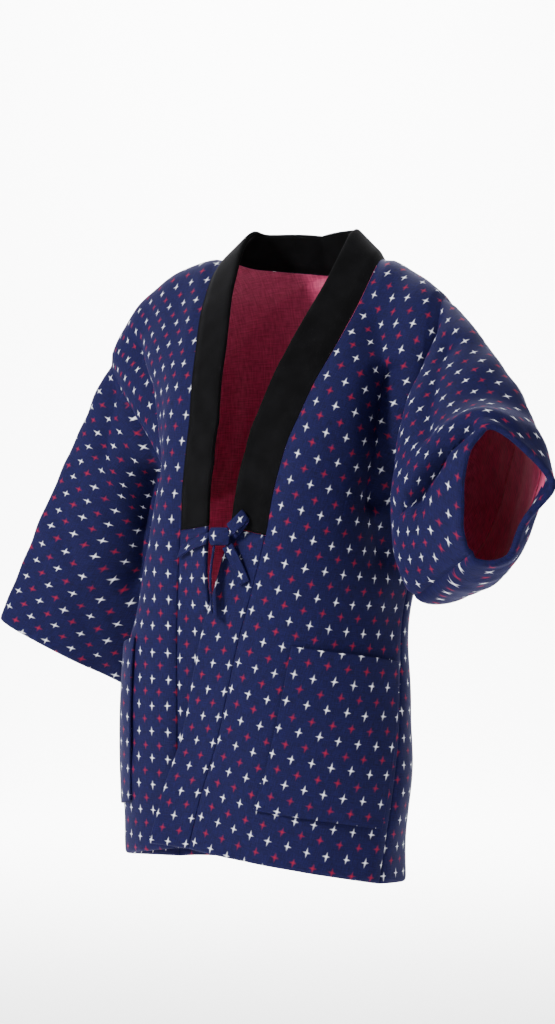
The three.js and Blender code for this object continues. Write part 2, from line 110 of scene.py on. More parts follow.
# How a weft row leaves the opening edge and reaches its side edge, in degrees:
# [along, bearing at the edge, pitch there, bearing at the side, pitch there]
ROWS_LEFT = [
    [0.0, -6, -8, 66, -10], [0.094, -4, -8, 78, -10], [0.18, -2, -8, 86, -8],
    [0.279, 0, -8, 82, -4], [0.33, 2, -8, 76, -4], [0.39, 4, -10, 60, -20], [0.44, 6, -14, 38, -28],
    [0.475, 2, -22, 14, -35], [0.5, -2, -24, -8, -38], [0.525, -4, -26, -20, -37],
    [0.56, 4, -20, -46, -30], [0.61, 4, -8, -62, -20], [0.67, 0, -4, -84, -4],
    [0.78, -6, -2, -84, 2], [0.9, -10, 0, -98, 4], [1.0, -10, 0, -104, 4],
]
ROWS_RIGHT = [
    [0.0, -4, -8, 124, -6], [0.094, -6, -8, 120, -6], [0.18, -6, -8, 116, -4],
    [0.279, 2, -8, 98, -4], [0.33, 6, -8, 82, -4], [0.39, 8, -8, 66, -20], [0.44, 12, -6, 46, -46],
    [0.475, 6, -2, 16, -66], [0.5, 0, 0, 0, -70], [0.525, -8, -2, -16, -66],
    [0.56, 4, -8, -46, -48], [0.61, 4, -6, -62, -26], [0.67, 0, -4, -88, -4], [0.78, 0, -2, -84, 0],
    [0.9, 2, 0, -70, 0], [1.0, 2, 0, -62, 0],
]
# The width of a band lies along this direction from its seam. [along, x, y, z]
BAND_TURN_LEFT = [
    [0.0, -0.98, -0.1, 0.08], [0.048, -0.98, 0.02, 0.12], [0.094, -0.97, 0.12, 0.16],
    [0.18, -0.98, 0.05, 0.18], [0.279, -0.97, 0.12, 0.18], [0.348, -0.94, 0.06, 0.3],
    [0.392, -0.9, 0.0, 0.4], [0.419, -0.86, -0.04, 0.46], [0.5, -0.77, 0.0, 0.64],
    [0.54, -0.5, -0.38, 0.72], [0.585, 0.0, -0.42, 0.85],
]
BAND_TURN_RIGHT = [
    [0.0, 0.99, 0.0, 0.05], [0.094, 0.99, -0.02, 0.05], [0.182, 0.98, -0.08, 0.05],
    [0.232, 0.93, -0.34, 0.1], [0.279, 0.93, -0.36, 0.1], [0.343, 0.94, -0.3, 0.16],
    [0.384, 0.93, -0.24, 0.26], [0.41, 0.88, -0.1, 0.4], [0.5, 0.77, 0.0, 0.64],
    [0.54, 0.5, -0.38, 0.72], [0.585, 0.0, -0.42, 0.85],
]

# Loops of six points from the armhole to the cuff: top fold, two down the front, underarm, two up the back
SLEEVE_LEFT = [
    [0, 217, -18, -60, 224, -56, -123, 202, -36, -249,
     174, 22, -312, 207, 47, -249, 229, 27, -123],
    [0.3, 282, -57, -117, 241, -121, -159, 214, -128, -248,
     200, -60, -345, 232, 24, -305, 268, 22, -180],
    [0.6, 345, -89, -179, 287, -169, -214, 237, -181, -308,
     225, -118, -418, 278, -40, -400, 340, -48, -270],
    [0.85, 392, -114, -244, 339, -180, -206, 286, -193, -285,
     281, -155, -399, 346, -129, -394, 379, -116, -331],
    [1, 418, -140, -288, 363, -192, -225, 335, -205, -285,
     337, -192, -371, 372, -164, -373, 387, -148, -329],
]
SLEEVE_RIGHT = [
    [0, -286, 0, -127, -248, -24, -173, -192, -12, -264,
     -175, 25, -310, -213, 55, -264, -269, 43, -173],
    [0.3, -334, -8, -224, -282, -28, -269, -232, 4, -348,
     -226, 56, -374, -258, 70, -341, -315, 40, -262],
    [0.65, -389, -20, -346, -329, -23, -389, -252, 33, -461,
     -230, 92, -490, -284, 92, -447, -366, 36, -375],
    [1, -443, -30, -468, -375, -22, -504, -282, 56, -561,
     -256, 126, -583, -320, 111, -548, -414, 33, -491],
]
# The tables of each side, and the sign of x on it
SIDES = {
    "left": (OPENING_LEFT, SIDE_LEFT, ROWS_LEFT, SLEEVE_LEFT, BAND_TURN_LEFT, 1),
    "right": (OPENING_RIGHT, SIDE_RIGHT, ROWS_RIGHT, SLEEVE_RIGHT, BAND_TURN_RIGHT, -1),
}

FOLD_DEEPER = 1.4  # the solids' folds, as deep as the fine meshes can show them

# The folds, as soft troughs: [from x y z, to x y z, half width, depth]
FOLDS = {
    "body_left": [
        [150, -76, -70, 172, -88, -150, 26, 15], [172, -88, -150, 172, -90, -234, 21, 27],
        [172, -90, -234, 160, -72, -310, 21, 25], [160, -72, -310, 155, -52, -370, 26, 12],
    ],
    "body_right": [
        [-226, -32, -110, -196, -62, -160, 17, 11], [-196, -62, -160, -188, -62, -230, 17, 13],
    ],
    "sleeve_left": [
        [234, -182, -324, 262, -190, -313, 11, 8], [262, -190, -313, 299, -199, -254, 12, 17],
        [299, -199, -254, 336, -198, -222, 12, 14], [256, -84, -128, 262, -130, -180, 14, 10],
        [262, -130, -180, 274, -170, -234, 13, 11],
    ],
    "sleeve_right": [
        [-272, -19, -160, -280, -30, -241, 15, 8], [-216, -16, -275, -232, 0, -345, 22, 21],
        [-232, 0, -345, -249, 11, -412, 24, 14],
    ],
    "collar": [
        [50, -155, -310, -4, -149, -299, 2.2, 1.4], [72, -141, -222, 28, -137, -204, 8, 1.2],
        [58, -150, -268, 6, -144, -244, 9, 1.2], [100, -120, -150, 52, -120, -128, 9, 1.0],
        [-90, -137, -280, -40, -150, -262, 9, 1.2], [-88, -130, -222, -36, -142, -210, 8, 1.0],
    ],
}

# Direction of the warp of each body length: [along, x, y, z]
WARP = {
    "left": [
        [0.0, 0.27, 0, 0.96], [0.36, 0.27, 0.05, 0.96], [0.42, 0.22, 0.4, 0.88],
        [0.46, 0.12, 0.75, 0.65], [0.5, 0, 1, 0.1], [0.54, 0, 0.85, -0.5], [0.6, 0, 0.2, -0.98],
        [0.67, 0, 0, -1], [1.0, 0.05, 0, -1],
    ],
    "right": [
        [0.0, 0, 0, 1], [0.25, 0.03, 0, 1], [0.38, 0.12, 0.15, 0.98], [0.42, 0.1, 0.4, 0.9],
        [0.46, 0.05, 0.75, 0.65], [0.5, 0, 1, 0.1], [0.54, 0, 0.85, -0.5], [0.6, 0, 0.2, -0.98],
        [0.67, 0, 0, -1], [1.0, 0, 0, -1],
    ],
}

# Ribbons of the tie: the direction of their width, and their path
TIES = {
    "tie_tail_left": ([0.35, 0, 1], [[-32.7, -170, -354], [-58, -161, -361], [-86, -151, -372]]),
    "tie_tail_right": ([1, 0, 0.45], [[-6, -168, -363.6], [6, -168, -384], [18, -167, -409]]),
    "tie_tail_down": ([0.5, -0.87, 0], [[-22, -173, -363.5], [-26, -175, -402], [-22, -178, -447]]),
    "tie_loop": (
        [-0.6, 0, 0.8],
        [
            [-0.8, -164.3, -349], [7, -159.2, -338], [14, -159.2, -329], [16, -164.3, -326],
            [9, -170, -335], [-0.8, -171, -343],
        ],
    ),
}
KNOT = ((-16, -169, -352), (15, 5, 11))  # centre and half sizes
KNOT_TURN = 0.8 * np.pi  # how far the strip goes round it
KNOT_OUT = 1.0  # its wall out of and into those sizes
KNOT_IN = 4.0

# Pockets, in shares of a body length
POCKET_ACROSS = (78 / 262, 248 / 262)
POCKET_ALONG = (0.33 * 62 / 455, 0.33 * 259 / 455)
POCKET_STANDS_OFF = 1.2  # beyond the seam gap, over the swelling of the body's wall
POCKET_GAPE = 5.0  # how far the middle of the open top stands out

# Arms of the crosses: half height and half width of the upright, half length and half width of the
# level arm, radius of the middle, softness of the edges
WHITE_CROSS = {"tall": 6.6, "thick": 0.95, "long": 4.9, "flat": 0.95, "spot": 1.5, "soft": 1.0}
RED_CROSS = {"tall": 6.2, "thick": 1.2, "long": 5.2, "flat": 1.2, "spot": 1.7, "soft": 1.9}
FIRST_CROSS = (9.0, 12.0)  # where the first white cross lies on the cloth
STRAY = (0.8, 0.9)  # how far a cross strays from its place, across and along
FRAY = 1.2  # how far the dyed threads slip in the weaving
BUNDLES = 1.4  # bundles of thread in a millimetre
ARM_STRENGTH = 0.75  # of the white or red of the middle
ARM_BIAS = 0.4  # how far past its width an arm begins to fade, in shares of the softness
TIP_FADE = 1.6  # how steeply an arm pales at its tip
# Where a piece's first corner lies on the pattern
BAND_PATTERN = (4, 6)
POCKET_PATTERN = (5, 5)
TIE_PATTERN = (2, 5)

# The stage, in metres
FLOOR_HEIGHT = -1.38
FLOOR_HALF_WIDTH = 14.0
FLOOR_DEPTHS = (-6.5, -5.0, -3.5, -2.0, -0.5, 1.0, 2.5, 4.0, 5.5, 6.8)
# The wall behind the floor: [depth behind the coat, height]
WALL_PROFILE = [[7.8, -1.28], [8.5, -0.95], [8.9, -0.3], [9.1, 0.7], [9.2, 2.0], [9.2, 3.6], [9.2, 5.2]]
WORLD_STRENGTH = 0.4
VIEW_AZIMUTH = np.radians(30.0)
VIEW_DISTANCE = 3.6
VIEW_SIDE = -0.0275  # how far the middle of the picture lies from the origin, to the right and up
VIEW_HEIGHT = -0.322
VIEW_LENS = 98.9

# Lights: name, place, size, power in watts and what they point at
LIGHTS = (
    ("key", (-1.5, -3.4, 1.8), 0.9, 260.0, (0.0, 0.0, -0.35)),
    ("fill", (3.4, -1.9, 0.6), 2.0, 40.0, (0.0, 0.0, -0.35)),
    ("top", (0.0, 0.8, 3.0), 2.0, 25.0, (0.0, 0.0, -0.35)),
    ("backdrop", (-2.7, 4.6, 3.2), 4.0, 1900.0, (-4.4, 7.8, 0.4)),
    ("floor", (-2.2, 3.8, 3.4), 4.0, 800.0, (-2.3, 4.0, -1.38)),
)


def srgb(code):
    """Linear red, green, blue and alpha of an sRGB hex colour."""
    parts = np.array([int(code[i : i + 2], 16) for i in (1, 3, 5)]) / 255
    linear = np.where(parts <= 0.04045, parts / 12.92, ((parts + 0.055) / 1.055) ** 2.4)
    return (*linear.tolist(), 1.0)


def unit(vectors):
    """Each vector divided by its own length."""
    return vectors / np.maximum(np.linalg.norm(vectors, axis=-1, keepdims=True), 1e-9)


def through(rows):
    """The curve through a table: cubic between rows, its slope at a row taken from the two neighbours."""
    table = np.asarray(rows, float)
    station, value = table[:, 0], table[:, 1:]
    slope = np.empty_like(value)
    slope[1:-1] = (value[2:] - value[:-2]) / (station[2:] - station[:-2])[:, None]
    slope[0] = (value[1] - value[0]) / (station[1] - station[0])
    slope[-1] = (value[-1] - value[-2]) / (station[-1] - station[-2])

    def at(t):
        t = np.atleast_1d(np.asarray(t, float))
        i = np.clip(np.searchsorted(station, t, side="left") - 1, 0, len(station) - 2)
        span = (station[i + 1] - station[i])[:, None]
        s = (t - station[i])[:, None] / span
        return (
            value[i] * (2 * s**3 - 3 * s**2 + 1)
            + value[i + 1] * (3 * s**2 - 2 * s**3)
            + span * (slope[i] * (s**3 - 2 * s**2 + s) + slope[i + 1] * (s**3 - s**2))
        )

    return at


def heading(bearing, pitch, mirror):
    """The unit vector of a bearing in plan from +X towards +Y and a pitch above level, in degrees."""
    b, p = np.radians(bearing), np.radians(pitch)
    x = np.cos(p) * np.cos(b)
    return np.stack([-x if mirror else x, np.cos(p) * np.sin(b), np.sin(p)], axis=-1)


def bow(start, leaving, end, arriving, across):
    """Cubic Bezier curves from start to end whose handles are as long as a circle's would be:
    two thirds of the chord times the tangent of a quarter turn over the sine of half the turn."""
    turn = np.arccos(np.clip((leaving * arriving).sum(-1), -1, 1))
    chord = np.linalg.norm(end - start, axis=-1)
    safe = np.maximum(turn, 0.01)
    handle = np.where(turn < 0.01, chord / 3, chord * (2 / 3) * np.tan(safe / 4) / np.sin(safe / 2))
    a = start + leaving * handle[:, None]
    b = end - arriving * handle[:, None]
    t = across[None, :, None]
    s = 1 - t
    return (
        start[:, None] * s**3
        + 3 * a[:, None] * s**2 * t
        + 3 * b[:, None] * s * t**2
        + end[:, None] * t**3
    )


def sleeve_points(loops, angle, share):
    """Rings of a sleeve: at each share of the way to the cuff a closed Catmull-Rom curve through the
    six points of the loop there. The angle is 0 at the top fold and goes down in front."""
    knots = through(loops)(share).reshape(len(np.atleast_1d(share)), -1, 3)
    count = knots.shape[1]
    at = (np.asarray(angle) / (2 * np.pi)) % 1 * count
    i = np.floor(at + 1e-9).astype(int)
    t = (at - i)[None, :, None]
    a, b, c, d = (knots[:, (i + k) % count] for k in (-1, 0, 1, 2))
    return 0.5 * (
        a * (2 * t**2 - t - t**3)
        + b * (2 - 5 * t**2 + 3 * t**3)
        + c * (t + 4 * t**2 - 3 * t**3)
        + d * (t**3 - t**2)
    )


def body_points(opening, side, rows, loops, mirror, across, along):
    """A body length: each weft row is a bow from the opening edge to the side seam or the armhole."""
    neck, back = through(opening)(along), through(CENTRE_BACK)(along)
    start = np.where((along <= NECK_BACK + 1e-6)[:, None], neck, back)
    front = along <= SHOULDER + 1e-9
    up = np.where(front, along, 1 - along)
    seam = through(side)(up / ARMPIT_FRONT)
    angle = np.pi * (SHOULDER - up) / (SHOULDER - ARMPIT_FRONT)
    hole = sleeve_points(loops, np.where(front, angle, -angle), np.zeros(1))[0]
    end = np.where((up <= ARMPIT_FRONT + 1e-9)[:, None], seam, hole)
    bearing0, pitch0, bearing1, pitch1 = through(rows)(along).T
    leaving, arriving = heading(bearing0, pitch0, mirror), heading(bearing1, pitch1, mirror)
    return bow(start, leaving, end, arriving, across)


def band_points(opening, turn, across, along):
    """A band: from its seam it goes BAND_WIDTH along the direction that the turn table gives."""
    width = unit(through(turn)(along))[:, None] * BAND_WIDTH
    return through(opening)(along)[:, None] + width * across[None, :, None]


def normals_of(points, sign, ring):
    """The cross product of the differences between neighbours along both ways of the grid."""
    if ring:
        wrapped = np.concatenate([points[:, -2:-1], points, points[:, 1:2]], axis=1)
        side = wrapped[:, 2:] - wrapped[:, :-2]
    else:
        side = np.gradient(points, axis=1)
    return unit(np.cross(side, np.gradient(points, axis=0))) * sign


def lengths(points):
    """Distances in mm along the rows from the first column, and along the columns from the first row."""
    u = np.zeros(points.shape[:2])
    v = np.zeros(points.shape[:2])
    u[:, 1:] = np.cumsum(np.linalg.norm(np.diff(points, axis=1), axis=-1), axis=1)
    v[1:] = np.cumsum(np.linalg.norm(np.diff(points, axis=0), axis=-1), axis=0)
    return u, v


def cloth_of(points, thread, column):
    """Where each point lies on the flat cloth: its distance across the thread and along it. Both are
    summed along one column first and then along the rows. thread is its direction at every row."""
    thread = unit(thread)
    step = np.diff(points, axis=1)
    along_step = (step * thread[:, None]).sum(-1)
    perpendicular = step - along_step[..., None] * thread[:, None]
    across = np.zeros(points.shape[:2])
    along = np.zeros(points.shape[:2])
    across[:, 1:] = np.cumsum(np.linalg.norm(perpendicular, axis=-1), axis=1)
    along[:, 1:] = np.cumsum(along_step, axis=1)
    side = unit(perpendicular[:, min(column, perpendicular.shape[1] - 1)])
    up = np.diff(points[:, column], axis=0)
    for sums, way in ((across, side), (along, thread)):
        middle = (way[1:] + way[:-1]) / 2
        start = np.concatenate([[0], np.cumsum((up * middle).sum(-1))])
        sums += (start - sums[:, column])[:, None]
    return across, along


class Grid:
    """Points of a surface with their normals, and what its four edges are: True where it is sewn."""

    def __init__(self, points, sign, ring=False, sewn=(True, True, True, True)):
        self.points = points
        self.sign = sign
        self.ring = ring
        self.sewn = sewn  # first column, last column, first row, last row
        self.normals = normals_of(points, sign, ring)
        self.u, self.v = lengths(points)
        self.cloth = self.u, self.v

    def move_cloth(self, by):
        """Moves the grid's place on the pattern of the cloth."""
        self.cloth = [part + shift for part, shift in zip(self.cloth, by)]

    def edges(self):
        """Which points lie on an edge."""
        edge = np.zeros(self.points.shape[:2], bool)
        edge[[0, -1]] = True
        if not self.ring:
            edge[:, [0, -1]] = True
        return edge

    def push(self, depth):
        """Moves the points in by depth, and keeps the sewn edges where they are."""
        u, v = self.u, self.v
        near = [u, u[:, -1:] - u, v, v[-1:] - v]
        hold = np.ones_like(u)
        for k, distance in enumerate(near):
            if self.sewn[k] and not (self.ring and k < 2):
                hold = hold * np.clip(distance / SEAM_HOLD, 0, 1)
        self.points = self.points - self.normals * (depth * hold)[..., None]
        self.normals = normals_of(self.points, self.sign, self.ring)

    def half(self, full, others=()):
        """Half the padded wall: thin at its edges, full further in as a quarter circle rises, and pressed
        flat where the points of another piece are near."""
        u, v = self.u, self.v
        near = [u, u[:, -1:] - u, v, v[-1:] - v]
        half = np.full_like(u, full / 2)
        for k, distance in enumerate(near):
            if self.ring and k < 2:
                continue
            low, reach = (SEAM_HALF, SEAM_SWELL) if self.sewn[k] else (HEM_HALF, HEM_SWELL)
            rise = np.sqrt(1 - (1 - np.clip(distance / reach, 0, 1)) ** 2)
            thin = min(low, full / 2)
            half = np.minimum(half, thin + (full / 2 - thin) * rise)
        for other in others:
            room = GAP_SHARE * gap_to(self.points, other.points) - PRESS_GAP
            half = np.minimum(half, np.maximum(PINCHED_HALF, room))
        return half


def gap_to(points, others):
    """The distance from each point to the nearest of the others, and twice NEAR for a point that lies
    further than NEAR outside the others' box."""
    flat, other = points.reshape(-1, 3), others.reshape(-1, 3)
    low, high = other.min(0) - NEAR, other.max(0) + NEAR
    found = np.full(len(flat), 2 * NEAR)
    inside = np.flatnonzero(((flat > low) & (flat < high)).all(1))
    low, high = flat.min(0) - NEAR, flat.max(0) + NEAR
    other = other[((other > low) & (other < high)).all(1)]
    for part in np.array_split(inside, max(1, len(inside) // AT_A_TIME)):
        if len(part) and len(other):
            found[part] = np.sqrt(((flat[part, None] - other[None]) ** 2).sum(-1).min(1))
    return found.reshape(points.shape[:2])


def sew(grids):
    """Edge points that meet in several grids get the mean of their normals."""
    places = np.concatenate([g.points[g.edges()] for g in grids])
    normals = np.concatenate([g.normals[g.edges()] for g in grids])
    _, which = np.unique(np.round(places * 10).astype(int), axis=0, return_inverse=True)
    which = which.reshape(-1)
    total = np.zeros((which.max() + 1, 3))
    np.add.at(total, which, normals)
    mean = unit(total)[which]
    start = 0
    for g in grids:
        edge = g.edges()
        g.normals[edge] = mean[start : start + edge.sum()]
        start += edge.sum()


def troughs(points, folds):
    """How deep folds push: each is a straight line, and the depth falls off from it as a bell curve."""
    depth = np.zeros(points.shape[:2])
    for x0, y0, z0, x1, y1, z1, width, deep in folds:
        start, end = np.array([x0, y0, z0], float), np.array([x1, y1, z1], float)
        way = end - start
        share = np.clip(((points - start) @ way) / (way @ way), 0, 1)
        away = np.linalg.norm(points - (start + share[..., None] * way), axis=-1)
        bell = deep * np.exp(-((away / width) ** FOLD_SHAPE))
        depth = np.where(np.abs(bell) > np.abs(depth), bell, depth)
    return depth * FOLD_DEEPER


def ripples(u, v, seed, size, height):
    """Soft unevenness of the wadding: a seeded sum of sine waves about the given size across, in mm."""
    random = np.random.default_rng(seed)
    total = np.zeros_like(u)
    for _ in range(RIPPLE_WAVES):
        angle, phase = random.uniform(0, np.pi), random.uniform(0, 2 * np.pi)
        wave = size * random.uniform(0.6, 1.8)
        total += np.sin((u * np.cos(angle) + v * np.sin(angle)) * 2 * np.pi / wave + phase)
    return total * height / RIPPLE_WAVES**0.5


def wall_mesh(name, grid, out, into, trim=SEAM_GAP / 2, facing=0):
    """A closed wall between the grid moved out and moved in along its normals, with its rim closed.
    Outer faces and the rim take the first material, inner faces the second, save for the facing, the
    cloth that is turned in along a hem that is not sewn to another piece."""
    points, ring = grid.points, grid.ring
    nj, ni = points.shape[:2]
    moved = points.copy()
    for edge, next_to in ((0, 1), (-1, -2)):
        moved[edge] += unit(points[next_to] - points[edge]) * trim
        if not ring:
            moved[:, edge] += unit(points[:, next_to] - points[:, edge]) * trim
    wide = ni - 1 if ring else ni
    layers = [moved + grid.normals * out[..., None], moved - grid.normals * into[..., None]]
    vertices = np.concatenate([layer[:, :wide].reshape(-1, 3) for layer in layers]) * MM
    j, i = np.meshgrid(np.arange(nj - 1), np.arange(ni - 1), indexing="ij")
    corner = [(i, j), (i + 1, j), (i + 1, j + 1), (i, j + 1)]

    def faces_of(cells):
        """The vertices of faces, from the layer, column and row of each of their four corners."""
        corners = [layer * wide * nj + b * wide + a % wide for layer, a, b in cells]
        return np.stack(corners, -1).reshape(-1, 4)

    def places_of(cells):
        """The points of the grid that the same corners lie on."""
        return np.stack([b * ni + a for _, a, b in cells], -1).reshape(-1, 4)

    top = [(0, a, b) for a, b in corner]
    low = [(1, a, b) for a, b in corner[::-1]]
    groups = [top, low]
    i0, j0 = np.arange(ni - 1), np.arange(nj - 1)
    first, last = np.zeros_like(i0), np.full_like(i0, nj - 1)
    groups.append([(0, i0, first), (1, i0, first), (1, i0 + 1, first), (0, i0 + 1, first)])
    groups.append([(0, i0, last), (0, i0 + 1, last), (1, i0 + 1, last), (1, i0, last)])
    if not ring:
        first, last = np.zeros_like(j0), np.full_like(j0, ni - 1)
        groups.append([(0, first, j0), (0, first, j0 + 1), (1, first, j0 + 1), (1, first, j0)])
        groups.append([(0, last, j0), (1, last, j0), (1, last, j0 + 1), (0, last, j0 + 1)])
    faces = np.concatenate([faces_of(g) for g in groups])
    places = np.concatenate([places_of(g) for g in groups])
    inner = np.concatenate([np.full(len(faces_of(g)), int(k == 1)) for k, g in enumerate(groups)])
    turned_in = np.zeros((nj - 1, ni - 1), bool)
    if not grid.sewn[2]:
        turned_in |= (grid.v < facing)[1:, 1:]
    if not grid.sewn[3]:
        turned_in |= (grid.v[-1:] - grid.v < facing)[:-1, 1:]
    inner[turned_in.size : 2 * turned_in.size] *= ~turned_in.ravel()
    if grid.sign < 0:
        faces, places = faces[:, ::-1], places[:, ::-1]
    cloth = np.stack([part.ravel() for part in grid.cloth], -1)[places.ravel()] * MM
    mesh = bpy.data.meshes.new(name)
    mesh.from_pydata(vertices.tolist(), [], faces.tolist())
    mesh.uv_layers.new(name="Cloth").data.foreach_set("uv", cloth.astype(np.float32).ravel())
    mesh.polygons.foreach_set("material_index", inner.astype(np.int32))
    mesh.polygons.foreach_set("use_smooth", np.ones(len(faces), bool))
    mesh.update()
    piece = bpy.data.objects.new(name, mesh)
    bpy.context.scene.collection.objects.link(piece)
    return piece


def spaced(stations, step):
    """The stations with each interval cut into equal parts no longer than step."""
    parts = [
        np.linspace(a, b, max(1, int(np.ceil((b - a) / step - 1e-6))) + 1)[:-1]
        for a, b in zip(stations[:-1], stations[1:])
    ]
    return np.concatenate([*parts, stations[-1:]])


def stations_across():
    """Columns of a body length, close together at the seams, where the wall swells."""
    edge = np.array([0, 0.006, 0.014, 0.024, 0.036, 0.05])
    middle = np.linspace(0.05, 0.95, 50)[1:-1]
    return np.concatenate([edge, middle, 1 - edge[::-1]])


def stations_along():
    """Rows of a body length from the front hem over the shoulder, symmetric about it."""
    hem = [0, 0.0008, 0.002, 0.004, 0.007, 0.01]
    front = spaced(np.array([0.01, *POCKET_ALONG, COLLAR_END, ARMPIT_FRONT]), 0.0036)
    ring = np.linspace(ARMPIT_FRONT, SHOULDER, 65)
    half = np.concatenate([hem[:-1], front[:-1], ring])
    return np.concatenate([half, 1 - half[-2::-1]])


BAND_ACROSS = np.array([0, 0.02, 0.05, 0.1, 0.17, *np.linspace(0.25, 0.83, 12), 0.9, 0.94, 0.97, 0.985, 1])


def cloth_grids(cut):
    """All the grids that are sewn together, by piece, with their folds and their shared normals."""
    across, along = stations_across(), stations_along()
    up = along[(along >= ARMPIT_FRONT - 1e-9) & (along <= SHOULDER + 1e-9)]
    front = np.pi * (SHOULDER - up) / (SHOULDER - ARMPIT_FRONT)
    ring = np.concatenate([front, -front[-2::-1]])
    share = np.concatenate(
        [[0, 0.004, 0.01, 0.02, 0.035], np.linspace(0.05, 0.97, 56), [0.98, 0.988, 0.994, 0.998, 1]]
    )
    low = along[along <= COLLAR_END + 1e-9]
    high = along[(along >= COLLAR_END - 1e-9) & (along <= NECK_BACK + 1e-9)]
    made = {}
    collar = {}
    for side, (opening, seam, rows, loops, turn, sign) in SIDES.items():
        points = body_points(opening, seam, rows, loops, sign < 0, across, along)
        body = Grid(points, sign, sewn=(True, True, False, False))
        body.cloth = cloth_of(points, through(WARP[side])(along), 0)
        uneven = ripples(body.u, body.v, cut.seed, BODY_RIPPLE, cut.ripple / MM)
        body.push(troughs(body.points, FOLDS[f"body_{side}"]) + uneven)
        made[f"body_{side}"] = body
        sleeve = Grid(sleeve_points(loops, ring, share), -sign, ring=True, sewn=(False, False, True, False))
        folds = troughs(sleeve.points, FOLDS[f"sleeve_{side}"])
        sleeve.push(folds + round_sleeve(sleeve, cut))
        sleeve.cloth = sleeve_cloth(sleeve, bent=side == "left")
        made[f"sleeve_{side}"] = sleeve
        band = band_points(opening, turn, BAND_ACROSS, low)
        made[f"band_{side}"] = Grid(band, -sign, sewn=(True, False, False, True))
        collar[side] = band_points(opening, turn, BAND_ACROSS, high)
    whole = np.concatenate([collar["left"], collar["right"][-2::-1]])
    made["collar"] = Grid(whole, -1, sewn=(True, False, True, True))
    made["collar"].push(troughs(made["collar"].points, FOLDS["collar"]))
    sew(list(made.values()))
    return made


def round_sleeve(grid, cut):
    """How deep the wadding of a sleeve lies: its underarm seam, and ripples that fade out towards it."""
    away = np.minimum(grid.u, grid.u[:, -1:] - grid.u)
    seam = UNDERARM_PULL * np.exp(-((away / UNDERARM_REACH) ** 2))
    uneven = ripples(grid.u, grid.v, cut.seed + 7, SLEEVE_RIPPLE, cut.ripple / MM)
    return uneven * np.clip(away / RIPPLE_FADE, 0, 1) + seam


def sleeve_cloth(grid, bent):
    """Cloth coordinates of a sleeve, along the weft and round the arm from the top fold. A bent
    sleeve's rings take their mean distance from the armhole, as its cloth is pushed together."""
    top = grid.points.shape[1] // 2
    if bent:
        along = grid.v.mean(axis=1, keepdims=True) + np.zeros_like(grid.u)
        return along, grid.u - grid.u[:, top : top + 1]
    middle = grid.points[:, :-1].mean(axis=1)
    warp, weft = cloth_of(grid.points, np.gradient(middle, axis=0), top)
    return weft, warp


def add(tree, kind, inputs=(), **settings):
    """Adds a node with its settings. inputs pairs a socket's name or number with a value or an output."""
    node = tree.nodes.new(kind)
    for key, value in settings.items():
        setattr(node, key, value)
    for key, value in dict(inputs).items():
        if isinstance(value, bpy.types.NodeSocket):
            tree.links.new(value, node.inputs[key])
        else:
            node.inputs[key].default_value = value
    return node


def mix(tree, share, first, second):
    """The first colour, going over to the second as the share rises to 1."""
    return add(tree, "ShaderNodeMix", {0: share, 6: first, 7: second}, data_type="RGBA").outputs[2]


def spread(tree, value, low, high):
    """The value stretched so that low gives 0 and high gives 1."""
    return add(tree, "ShaderNodeMapRange", {0: value, 1: low, 2: high}).outputs[0]


def scaled(tree, vector, scale):
    """The vector with each part multiplied by its own scale."""
    return add(tree, "ShaderNodeVectorMath", {0: vector, 1: scale}, operation="MULTIPLY").outputs[0]


def noise(tree, place, scale, detail):
    """Soft noise at a place."""
    inputs = {"Vector": place, "Scale": scale, "Detail": detail}
    return add(tree, "ShaderNodeTexNoise", inputs).outputs[0]


def new_material(name):
    """An empty material with its surface shader, linked to the output."""
    material = bpy.data.materials.new(name)
    material.use_nodes = True
    tree = material.node_tree
    tree.nodes.clear()
    shader = tree.nodes.new("ShaderNodeBsdfPrincipled")
    output = tree.nodes.new("ShaderNodeOutputMaterial")
    tree.links.new(shader.outputs["BSDF"], output.inputs["Surface"])
    return material, tree, shader


def lay_cloth(tree, shader, colour, height, strength, distance, values):
    """Gives the shader its colour and its bump, and the uniform values on its own sockets."""
    bump = add(tree, "ShaderNodeBump", {"Height": height, "Strength": strength, "Distance": distance})
    tree.links.new(colour, shader.inputs["Base Color"])
    tree.links.new(bump.outputs[0], shader.inputs["Normal"])
    for name, value in values.items():
        shader.inputs[name].default_value = value


